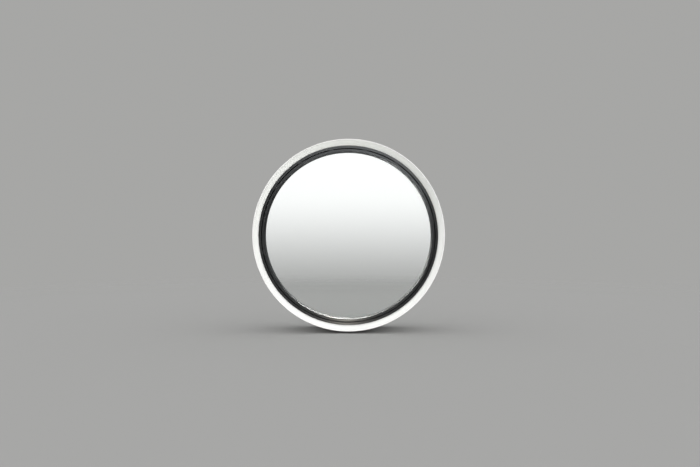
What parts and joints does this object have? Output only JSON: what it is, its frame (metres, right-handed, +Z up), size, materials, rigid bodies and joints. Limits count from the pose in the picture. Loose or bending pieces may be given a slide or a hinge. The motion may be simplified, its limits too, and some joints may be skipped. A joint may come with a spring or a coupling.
{
  "type": "porthole window",
  "caption": "Round fixed window with a thermally broken frame, a sealed double-glazed unit held by a room-side bead, and a deep cylindrical white reveal liner.",
  "frame": {"origin": "on the window's axis, in the plane where the fixing lugs bear on the wall, 8 mm behind the frame's room face", "axes": "+Y along the axis towards the weather side, +Z up, +X to the right seen from the room"},
  "size_m": [1.0998, 0.333, 1.1],
  "materials": {
    "frame_paint": "satin",
    "liner_paint": "satin",
    "polyamide": "matte",
    "cap_plastic": "satin",
    "block_plastic": "matte",
    "glass": "polished",
    "spacer_metal": "satin",
    "zinc_steel": "satin",
    "desiccant": "matte",
    "sealant": "matte",
    "gasket_rubber": "matte",
    "foam_tape": "matte"
  },
  "bodies": {
    "root": {"frame_inner_shell": "frame_paint", "frame_outer_shell": "frame_paint", "glazing_bead": "frame_paint", "thermal_break_inner": "polyamide", "thermal_break_outer": "polyamide", "bead_clips": "polyamide", "weep_caps": "cap_plastic", "setting_blocks": "block_plastic", "location_blocks": "block_plastic", "glass_pane_room": "glass", "glass_pane_outside": "glass", "spacer_bar": "spacer_metal", "spacer_key": "zinc_steel", "desiccant": "desiccant", "butyl_seal_room": "sealant", "butyl_seal_outside": "sealant", "edge_sealant": "sealant", "gasket_room": "gasket_rubber", "gasket_outside": "gasket_rubber", "reveal_liner": "liner_paint", "liner_tape": "foam_tape", "liner_screws": "zinc_steel", "bead_clip_screws": "zinc_steel", "lug_lock_screws": "zinc_steel", "fixing_lugs": "zinc_steel"}
  },
  "joints": []
}
